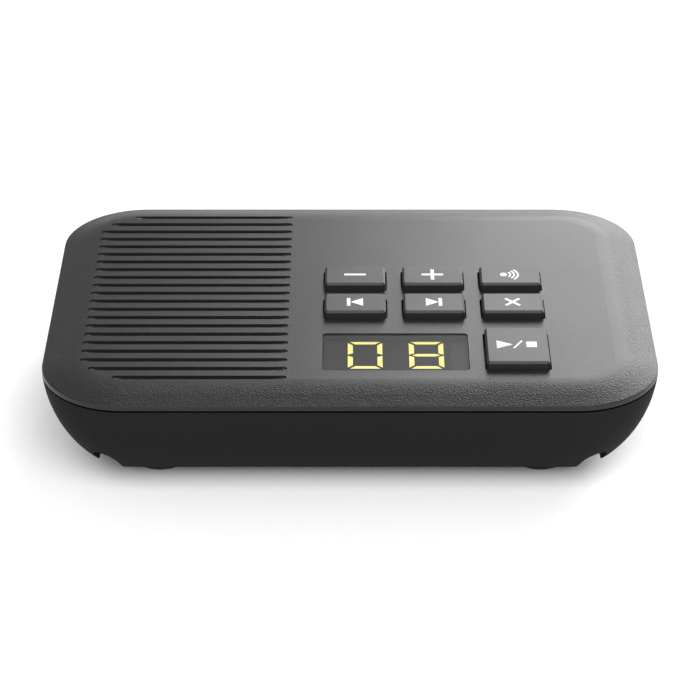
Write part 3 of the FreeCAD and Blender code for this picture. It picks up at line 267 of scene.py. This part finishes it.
def base_abs(case):
    """The same ABS with the same grain, but rougher and with next to no gloss."""
    plastic = grained_plastic("base_matte_abs", case.base, 0.6, case.grain, case.grain_depth, gloss=0.02)
    # Painted shade along the seam groove
    return paint_seam_shade(plastic, case.seam)


def key_abs(case):
    """ABS key caps from a polished and lightly blasted tool, smoother than the cover."""
    return grained_plastic("key_satin_abs", case.key, 0.38, 0.5 * case.grain, 0.1 * case.grain_depth,
                           spread=0.03, gloss=0.27)


def smoked_window(case):
    """Clear polycarbonate sheet. Its upper face carries a smoked anti-glare film, half see-through,
    grey and softly shining. Its lower side is printed grey except over the display, so that only the
    display shows through and the sheet looks like one even panel. The grey print is given a painted
    glow, emission in its own grey, though no lamp is behind it."""
    material, tree, shader = new_material("window_smoked_polycarbonate", {
        "IOR": 1.58, "Specular IOR Level": 0.05, "Emission Color": case.window})
    noise = object_noise(tree, 12 * MM)
    vary(tree, shader, noise.outputs["Fac"], case.window, 0.03, 0.3, 0.02)
    low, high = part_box("display_body")
    # Any level between the sheet's two sides will do to tell them apart
    below_film = 0.4 * MM
    film_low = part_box("display_window")[1].z - below_film
    at = position(tree)
    over = [calculate(tree, "COMPARE", at[axis], (start + end) / 2, (end - start) / 2)
            for axis, start, end in (("X", low.x, high.x), ("Y", low.y, high.y))]
    display = calculate(tree, "MULTIPLY", *over)
    beside = calculate(tree, "SUBTRACT", 1.0, display)
    below = calculate(tree, "LESS_THAN", at["Z"], film_low)
    print_mask = calculate(tree, "MULTIPLY", beside, below)
    film = calculate(tree, "GREATER_THAN", at["Z"], film_low)
    density = calculate(tree, "MULTIPLY_ADD", film, case.film_density, print_mask)
    # Painted glow: the grey print emits light of its own colour, though no lamp is behind it
    glow = calculate(tree, "MULTIPLY", print_mask, case.scatter)
    tree.links.new(density, shader.inputs["Alpha"])
    tree.links.new(glow, shader.inputs["Emission Strength"])
    return material


def painted_glow_epoxy(case, name):
    """Grey casting epoxy, as dark as the film over it, with a painted glow: emission in its own grey, though
    no lamp lights it.
    """
    material = grained_plastic(name, case.window, 0.6, 1.5 * MM, 0.001 * MM, spread=0.02, gloss=0.1)
    shader = material.node_tree.nodes["Principled BSDF"]
    # Painted glow: emission in the epoxy's own grey
    shader.inputs["Emission Color"].default_value = case.window
    shader.inputs["Emission Strength"].default_value = case.scatter
    return material


def display_epoxy(case):
    """The grey face around the digits, with the painted glow."""
    return painted_glow_epoxy(case, "display_grey_epoxy_painted_glow")


def dark_epoxy(case):
    """A segment with its lamp off: as grey as the face around it, with the same painted glow."""
    return painted_glow_epoxy(case, "segment_dark_epoxy_painted_glow")


def lit_epoxy(case):
    """Diffusing yellow epoxy with a lamp behind it, a little uneven along a bar."""
    material, tree, shader = new_material("segment_lit_epoxy", {
        "Base Color": case.lit, "Roughness": 0.4, "Emission Color": case.lit, "IOR": 1.5})
    glow = object_noise(tree, 1.6 * MM)
    strength = add_node(tree, "ShaderNodeMapRange", inputs={
        "Value": glow.outputs["Fac"], "To Min": 1.55, "To Max": 1.85})
    tree.links.new(strength.outputs["Result"], shader.inputs["Emission Strength"])
    return material


def silicone_rubber(small):
    """Moulded silicone: light grey, dull, a little translucent."""
    material, tree, shader = new_material("silicone_rubber", {
        "IOR": 1.41, "Subsurface Weight": 0.15, "Subsurface Radius": (0.002, 0.002, 0.0018)})
    noise = object_noise(tree, 1.2 * MM)
    vary(tree, shader, noise.outputs["Fac"], small.silicone, 0.05, 0.55, 0.05)
    emboss(tree, shader, noise.outputs["Fac"], 0.01 * MM)
    return material


def foot_rubber():
    """Black rubber foot: dull, with the fine sanded look of a cut sheet."""
    return grained_plastic("foot_black_rubber", linear("#1B1B1B"), 0.8, 0.25 * MM, 0.02 * MM)


def solder_mask():
    """Glass-epoxy board under green solder mask, with copper runs showing faintly as lighter bars."""
    material, tree, shader = new_material("board_green_solder_mask", {"IOR": 1.5, "Coat Weight": 0.3})
    place = add_node(tree, "ShaderNodeTexCoord")
    runs = add_node(tree, "ShaderNodeTexBrick", inputs={
        "Vector": place.outputs["Object"], "Color1": linear("#1E6B38"), "Color2": linear("#175A2F"),
        "Mortar": linear("#0F4523"), "Scale": 1.0, "Mortar Size": 0.3 * MM,
        "Brick Width": 9.0 * MM, "Row Height": 1.2 * MM})
    tree.links.new(runs.outputs["Color"], shader.inputs["Base Color"])
    shader.inputs["Roughness"].default_value = 0.35
    emboss(tree, shader, runs.outputs["Fac"], 0.02 * MM)
    return material


def brushed_metal(name, hex_colour, roughness, width):
    """Rolled or plated metal: fine scratches drawn out along X."""
    material, tree, shader = new_material(name, {"Metallic": 1.0})
    noise = object_noise(tree, width, 3.0, (0.08, 1.0, 1.0))
    vary(tree, shader, noise.outputs["Fac"], linear(hex_colour), 0.08, roughness, 0.08)
    emboss(tree, shader, noise.outputs["Fac"], 0.004 * MM)
    return material


def pressed_paper():
    """Black felted paper of a loudspeaker cone: fibres show as a soft irregular grain."""
    material, tree, shader = new_material("cone_felted_paper", {"IOR": 1.4, "Sheen Weight": 0.3})
    fibres = object_noise(tree, 0.5 * MM, 4.0, (1.0, 3.0, 1.0))
    vary(tree, shader, fibres.outputs["Fac"], linear("#1F1F1F"), 0.25, 0.85, 0.05)
    emboss(tree, shader, fibres.outputs["Fac"], 0.05 * MM)
    return material


def woven_cloth():
    """Black dust cloth, plain weave with threads 0.3 mm apart, drawn by two crossed waves."""
    material, tree, shader = new_material("dust_cloth_plain_weave", {"IOR": 1.45, "Sheen Weight": 0.2})
    place = add_node(tree, "ShaderNodeTexCoord")
    spacing = 0.3 * MM
    # The wave texture runs through one wave where 20 times its scale times the distance grows by 2 pi
    scale = 2 * math.pi / (20 * spacing)
    bands = [add_node(tree, "ShaderNodeTexWave", {"bands_direction": direction}, {
        "Vector": place.outputs["Object"], "Scale": scale}).outputs["Fac"] for direction in ("X", "Y")]
    woven = calculate(tree, "MULTIPLY", *bands)
    vary(tree, shader, woven, linear("#121212"), 0.4, 0.9, 0.05)
    emboss(tree, shader, woven, 0.1 * MM)
    return material


def open_foam():
    """Black polyurethane foam: open cells about half a millimetre wide."""
    material, tree, shader = new_material("foam_open_cell", {"IOR": 1.4, "Roughness": 0.95})
    place = add_node(tree, "ShaderNodeTexCoord")
    cells = add_node(tree, "ShaderNodeTexVoronoi", inputs={
        "Vector": place.outputs["Object"], "Scale": 1.0 / (0.5 * MM)})
    vary(tree, shader, cells.outputs["Distance"], linear("#1A1A1A"), 0.4, 0.93, 0.03)
    emboss(tree, shader, cells.outputs["Distance"], 0.15 * MM)
    return material


def printing_ink(sign):
    """White two-part pad-printing ink: opaque, faintly uneven, as dull as the key under it."""
    material, tree, shader = new_material("sign_white_ink", {"IOR": 1.5})
    noise = object_noise(tree, 0.3 * MM)
    vary(tree, shader, noise.outputs["Fac"], sign.ink, 0.03, 0.5, 0.05)
    return material


def slot_materials(scene):
    """The material for each slot of the record."""
    case, small = scene.machine_case, scene.machine_small
    return {
        "cover": cover_abs(case),
        "base": base_abs(case),
        "window": smoked_window(case),
        "display": display_epoxy(case),
        "lit_segment": lit_epoxy(case),
        "dark_segment": dark_epoxy(case),
        "key": key_abs(case),
        "silicone": silicone_rubber(small),
        "board": solder_mask(),
        "tinplate": brushed_metal("shield_tinplate", "#C3C3BE", 0.32, 0.2 * MM),
        "chip": grained_plastic("chip_black_epoxy", linear("#191919"), 0.7, 0.15 * MM, 0.01 * MM),
        "can": brushed_metal("capacitor_aluminium", "#C8CACD", 0.28, 0.1 * MM),
        "connector": grained_plastic("connector_white_nylon", linear("#E6E0CF"), 0.5, 0.4 * MM, 0.005 * MM),
        "jack": grained_plastic("jack_black_polyester", linear("#161616"), 0.4, 0.3 * MM, 0.004 * MM),
        "contact": brushed_metal("contact_gilt_bronze", "#E0B45C", 0.25, 0.05 * MM),
        "foam": open_foam(),
        "basket": grained_plastic("basket_black_enamel", linear("#1A1A1A"), 0.4, 0.5 * MM, 0.01 * MM),
        "magnet": grained_plastic("magnet_ferrite", linear("#3A3A3B"), 0.75, 0.2 * MM, 0.02 * MM),
        "paper": pressed_paper(),
        "cloth": woven_cloth(),
        "foot": foot_rubber(),
        "screw": brushed_metal("screw_zinc_plated_steel", "#A5A6A8", 0.35, 0.15 * MM),
    }


def material_of(slot):
    """The material that the case operator gave to a slot."""
    named = {part["node"]: part["material_slot"] for part in frame["record"]["subparts"]}
    node = next(name for name, found in named.items() if found == slot)
    return NODES[node].data.materials[0]


# Surfaces


def grid_faces(rows, columns):
    """Four-sided faces over a grid of points whose rows close on themselves."""
    number = np.arange(rows * columns).reshape(rows, columns)
    number = np.hstack([number, number[:, :1]])
    corners = (number[:-1, :-1], number[:-1, 1:], number[1:, 1:], number[1:, :-1])
    return np.stack(corners, axis=-1).reshape(-1, 4)


def new_piece(name, points, faces, material, body, smooth=True):
    """Put points and faces into a mesh, close its poles and seams, and let it ride on a body."""
    mesh = bpy.data.meshes.new(name)
    mesh.from_pydata(np.asarray(points).tolist(), [], [list(map(int, face)) for face in faces])
    shape = bmesh.new()
    shape.from_mesh(mesh)
    bmesh.ops.remove_doubles(shape, verts=shape.verts, dist=0.001 * MM)
    bmesh.ops.recalc_face_normals(shape, faces=shape.faces)
    shape.to_mesh(mesh)
    shape.free()
    mesh.materials.append(material)
    if smooth:
        mesh.shade_smooth()
    piece = bpy.data.objects.new(name, mesh)
    bpy.context.scene.collection.objects.link(piece)
    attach(piece, body)
    return piece


def plates(outlines, low, high):
    """Flat plates: each outline stands once at the low level and once at the high level, and a
    wall joins the two. Returns points and faces of all the outlines together."""
    points, faces = [], []
    for outline in outlines:
        count = len(outline)
        first = sum(len(part) for part in points)
        for level in (low, high):
            points.append(np.column_stack([outline, np.full(count, level)]))
        faces.append(list(range(first + count - 1, first - 1, -1)))
        faces.append(list(range(first + count, first + 2 * count)))
        corner = first + np.arange(count)
        after = np.roll(corner, -1)
        faces.extend(np.column_stack([corner, after, count + after, count + corner]).tolist())
    return np.vstack(points), faces


def bar(centre, length, width, angle=0.0):
    """A rectangle's corners, turned about its centre by an angle in degrees."""
    corners = np.array([(-1, -1), (1, -1), (1, 1), (-1, 1)]) * (length / 2, width / 2)
    turn = math.radians(angle)
    across = np.array([(math.cos(turn), math.sin(turn)), (-math.sin(turn), math.cos(turn))])
    return corners @ across + centre


def cross(centre, length, width, angle=0.0):
    """Two equal bars at right angles as one outline of twelve corners."""
    half, thick = length / 2, width / 2
    arm = np.array([(half, -thick), (half, thick), (thick, thick)])
    turns = [math.radians(angle + 90 * number) for number in range(4)]
    spun = [arm @ np.array([(math.cos(t), math.sin(t)), (-math.sin(t), math.cos(t))]) for t in turns]
    return np.vstack(spun) + centre


def arrow(centre, length, height, way):
    """A triangle that points right where way is 1 and left where it is -1."""
    corners = np.array([(-1, -1), (1, 0), (-1, 1)]) * (way * length / 2, height / 2)
    return (corners if way > 0 else corners[::-1]) + centre


def disc(centre, radius):
    """A circle of 40 points: radius times the cosine and sine of equal steps."""
    steps = np.linspace(0, 2 * math.pi, 40, endpoint=False)
    return np.column_stack([np.cos(steps), np.sin(steps)]) * radius + centre


def wave(centre, radius, width, half_angle):
    """A sound wave: a stretch of a ring about a centre, open by half_angle each way from +X."""
    steps = np.radians(np.linspace(-half_angle, half_angle, 17))
    outer = np.column_stack([np.cos(steps), np.sin(steps)]) * (radius + width / 2)
    inner = np.column_stack([np.cos(steps[::-1]), np.sin(steps[::-1])]) * (radius - width / 2)
    return np.vstack([outer, inner]) + centre


def revolved(radii, heights, x, y, steps):
    """A surface of revolution: each point of the profile at radius r and height z goes round the
    upright axis at (x, y), at x + r cos a and y + r sin a."""
    angles = np.linspace(0, 2 * math.pi, steps, endpoint=False)
    across = x + np.outer(radii, np.cos(angles))
    along = y + np.outer(radii, np.sin(angles))
    up = np.repeat(np.asarray(heights)[:, None], steps, axis=1)
    return np.stack([across, along, up], axis=-1)


# Operators


class MACHINE_OT_finish_case(bpy.types.Operator):
    """Give every node of the frame the material of its slot"""

    bl_idname = "machine.finish_case"
    bl_label = "Finish the mouldings and inner parts"

    def execute(self, context):
        materials = slot_materials(context.scene)
        for part in frame["record"]["subparts"]:
            mesh = NODES[part["node"]].data
            mesh.materials.clear()
            mesh.materials.append(materials[part["material_slot"]])
        return {"FINISHED"}


class MACHINE_OT_print_signs(bpy.types.Operator):
    """Print the white signs on the seven keys"""

    bl_idname = "machine.print_signs"
    bl_label = "Print the key signs"

    def outlines(self, key, centre, sign):
        """The outlines of one key's sign about the middle of its cap."""
        if key == "minus":
            return [bar(centre, sign.line, sign.stroke)]
        if key == "plus":
            return [cross(centre, sign.line, sign.stroke)]
        if key == "delete":
            return [cross(centre, 1.25 * sign.arrow, 0.85 * sign.stroke, 45.0)]
        if key == "paging":
            dot_offset, dot_radius, wave_radii = -1.45 * MM, 0.85 * MM, (1.6, 2.5, 3.4)
            dot = centre + (dot_offset, 0)
            waves = [wave(dot, radius * MM, sign.fine_stroke, 45.0) for radius in wave_radii]
            return [disc(dot, dot_radius)] + waves
        if key in ("previous", "next"):
            way = 1 if key == "next" else -1
            head = centre + (-0.5 * way * sign.stroke, 0)
            foot = centre + (0.41 * way * sign.arrow, 0)
            return [arrow(head, 0.78 * sign.arrow, sign.arrow, way), bar(foot, sign.stroke, sign.arrow)]
        play_offset, slash_offset, stop_offset = -2.8 * MM, 0.2 * MM, 3.3 * MM
        play_length, slash_length = 3.6 * MM, 4.0 * MM
        play = arrow(centre + (play_offset, 0), play_length, 0.95 * sign.arrow, 1)
        slash = bar(centre + (slash_offset, 0), slash_length, sign.fine_stroke, 60.0)
        stop = bar(centre + (stop_offset, 0), 0.94 * sign.square, sign.square)
        return [play, slash, stop]

    def execute(self, context):
        sign = context.scene.machine_signs
        ink = printing_ink(sign)
        for key in KEYS:
            low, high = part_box("key_" + key)
            centre = np.array([(low.x + high.x) / 2, (low.y + high.y) / 2])
            points, faces = plates(self.outlines(key, centre, sign), high.z - sign.film / 2,
                                   high.z + sign.film / 2)
            new_piece("sign_" + key, points, faces, ink, "key_" + key, smooth=False)
        return {"FINISHED"}


class MACHINE_OT_mould_domes(bpy.types.Operator):
    """Mould the silicone domes under the keys"""

    bl_idname = "machine.mould_domes"
    bl_label = "Mould the domes"

    def execute(self, context):
        silicone = material_of("silicone")
        for key in KEYS:
            low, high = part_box("dome_" + key)
            rise = high.z - low.z
            radius = (high.x - low.x) / 2
            # Shares of the dome's rise and radius: the skin narrows over skin_end of the rise, by
            # narrowing of the radius, along a smooth step, and its top edge is bevelled
            skin_end, narrowing, bevel_low, bevel_in = 0.7, 0.42, 0.97, 0.93
            level = np.linspace(0, 1, 25)
            step = np.clip(level / skin_end, 0, 1)
            width = radius * (1 - narrowing * step * step * (3 - 2 * step))
            radii = np.concatenate([[0.0], width, [bevel_in * width[-1], 0.0]])
            heights = low.z + rise * np.concatenate([[0.0], bevel_low * level, [1.0, 1.0]])
            points = revolved(radii, heights, (low.x + high.x) / 2, (low.y + high.y) / 2, 48)
            dome = new_piece("soft_dome_" + key, points.reshape(-1, 3), grid_faces(*points.shape[:2]),
                             silicone, HOUSING)
            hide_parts("dome_" + key)
            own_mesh(dome)
        return {"FINISHED"}


class MACHINE_OT_turn_screws(bpy.types.Operator):
    """Turn the two housing screws, with a cross recess and a coarse thread"""

    bl_idname = "machine.turn_screws"
    bl_label = "Turn the housing screws"

    def execute(self, context):
        small = context.scene.machine_small
        steel = material_of("screw")
        low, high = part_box("housing_screws")
        head, x = (high.x - low.x) / 2, (low.x + high.x) / 2
        shank = 1.2 * MM
        dome_rise, side_low = 0.5 * MM, low.z + 0.8 * MM
        seat = low.z + 1.8 * MM
        steps = 96
        for place, y in (("front", low.y + head), ("rear", high.y - head)):
            # Profile: out over the domed head, up its side, in to the shank, up the shank, to a point
            face = np.linspace(0, 1, 33)
            up_shank = np.linspace(0, 1, 120)
            radii = np.concatenate([0.97 * head * face, [head, head, shank],
                                    np.full(up_shank.size, shank), [0.0]])
            dome = low.z + dome_rise * face ** 4
            collar = [side_low, seat, seat]
            heights = np.concatenate([dome, collar, seat + (high.z - seat) * 0.98 * up_shank, [high.z]])
            points = revolved(radii, heights, x, y, steps)
            across, along = points[..., 0] - x, points[..., 1] - y
            # The recess sinks two crossed slots into the head, less deep towards their ends
            near = np.minimum(np.abs(across), np.abs(along)) < small.recess_width / 2
            reach = 1 - np.hypot(across, along) / small.recess
            sunk = np.where(near & (reach > 0), small.recess_depth * np.clip(2.5 * reach, 0, 1), 0.0)
            sunk[face.size:] = 0.0
            points[..., 2] += sunk
            # The thread is a cosine of the height in pitches plus the share of a turn
            turn = np.arctan2(along, across) / (2 * math.pi)
            lift = 0.5 - 0.5 * np.cos(2 * math.pi * (points[..., 2] / small.thread_pitch - turn))
            first = face.size + len(collar)
            rows = slice(first, first + up_shank.size)
            scale = 1 - small.thread_depth * lift[rows] / shank
            points[rows, :, 0] = x + across[rows] * scale
            points[rows, :, 1] = y + along[rows] * scale
            piece = new_piece("screw_" + place, points.reshape(-1, 3), grid_faces(*points.shape[:2]),
                              steel, HOUSING)
            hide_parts("housing_screws")
        return {"FINISHED"}


class MACHINE_OT_set_stage(bpy.types.Operator):
    """Set the camera at the photograph's angle over a pale floor in soft light"""

    bl_idname = "machine.set_stage"
    bl_label = "Set the stage"

    def add_light(self, scene, name, watts, size, place):
        """A rectangular lamp that faces the origin; size and place are in metres."""
        lamp = bpy.data.lights.new(name, "AREA")
        lamp.energy = watts
        lamp.shape = "RECTANGLE"
        lamp.size, lamp.size_y = size
        light = bpy.data.objects.new(name, lamp)
        light.location = place
        way = -np.array(place)
        light.rotation_euler = (math.atan2(np.hypot(way[0], way[1]), -way[2]), 0,
                                math.atan2(way[1], way[0]) - math.pi / 2)
        scene.collection.objects.link(light)

    def execute(self, context):
        scene = context.scene
        stage = scene.machine_stage
        scene.view_settings.view_transform = "Standard"
        material, tree, shader = new_material("floor_white_paper", {"Roughness": 0.9})
        noise = object_noise(tree, 3 * MM)
        vary(tree, shader, noise.outputs["Fac"], stage.floor, 0.01, 0.9, 0.02)
        mesh = bpy.data.meshes.new("floor")
        corners = np.array([(-1, -1, 0), (1, -1, 0), (1, 1, 0), (-1, 1, 0)]) * stage.floor_size / 2
        mesh.from_pydata(corners.tolist(), [], [(0, 1, 2, 3)])
        mesh.materials.append(material)
        floor = bpy.data.objects.new("floor", mesh)
        scene.collection.objects.link(floor)

        world = bpy.data.worlds.new("studio")
        world.use_nodes = True
        backdrop = world.node_tree.nodes["Background"]
        backdrop.inputs["Color"].default_value = linear("#FFFFFF")
        backdrop.inputs["Strength"].default_value = stage.ambient
        scene.world = world
        self.add_light(scene, "rear_soft_box", stage.rear_light, size=(1.2, 0.95), place=(0.58, 1.1, 0.58))
        self.add_light(scene, "front_soft_box", stage.front_light, size=(1.6, 1.2), place=(0, -0.9, 1.0))

        lens = bpy.data.cameras.new("camera")
        lens.lens = stage.lens
        camera = bpy.data.objects.new("camera", lens)
        camera.location = (0, -stage.distance, stage.height)
        camera.rotation_euler = (math.pi / 2 - stage.pitch, 0, 0)
        scene.collection.objects.link(camera)
        scene.camera = camera
        return {"FINISHED"}


OPERATORS = (MACHINE_OT_finish_case, MACHINE_OT_print_signs, MACHINE_OT_mould_domes,
             MACHINE_OT_turn_screws, MACHINE_OT_set_stage)
SETTINGS = {"machine_case": CaseSettings, "machine_signs": SignSettings,
            "machine_small": SmallPartSettings, "machine_stage": StageSettings}


class MACHINE_PT_panel(bpy.types.Panel):
    """The machine's pieces and settings"""

    bl_idname = "MACHINE_PT_panel"
    bl_label = "Answering machine"
    bl_space_type = "VIEW_3D"
    bl_region_type = "UI"
    bl_category = "Answering machine"

    def draw(self, context):
        for name, group in SETTINGS.items():
            box = self.layout.box()
            for field in group.__annotations__:
                box.prop(getattr(context.scene, name), field)
        for operator in OPERATORS:
            self.layout.operator(operator.bl_idname)


CLASSES = (*SETTINGS.values(), *OPERATORS, MACHINE_PT_panel)


def register():
    for item in CLASSES:
        bpy.utils.register_class(item)
    for name, group in SETTINGS.items():
        setattr(bpy.types.Scene, name, bpy.props.PointerProperty(type=group))


def unregister():
    for name in SETTINGS:
        delattr(bpy.types.Scene, name)
    for item in reversed(CLASSES):
        bpy.utils.unregister_class(item)


def main():
    register()
    bpy.ops.machine.finish_case()
    bpy.ops.machine.print_signs()
    bpy.ops.machine.mould_domes()
    bpy.ops.machine.turn_screws()
    bpy.ops.machine.set_stage()


if __name__ == "__main__":
    main()
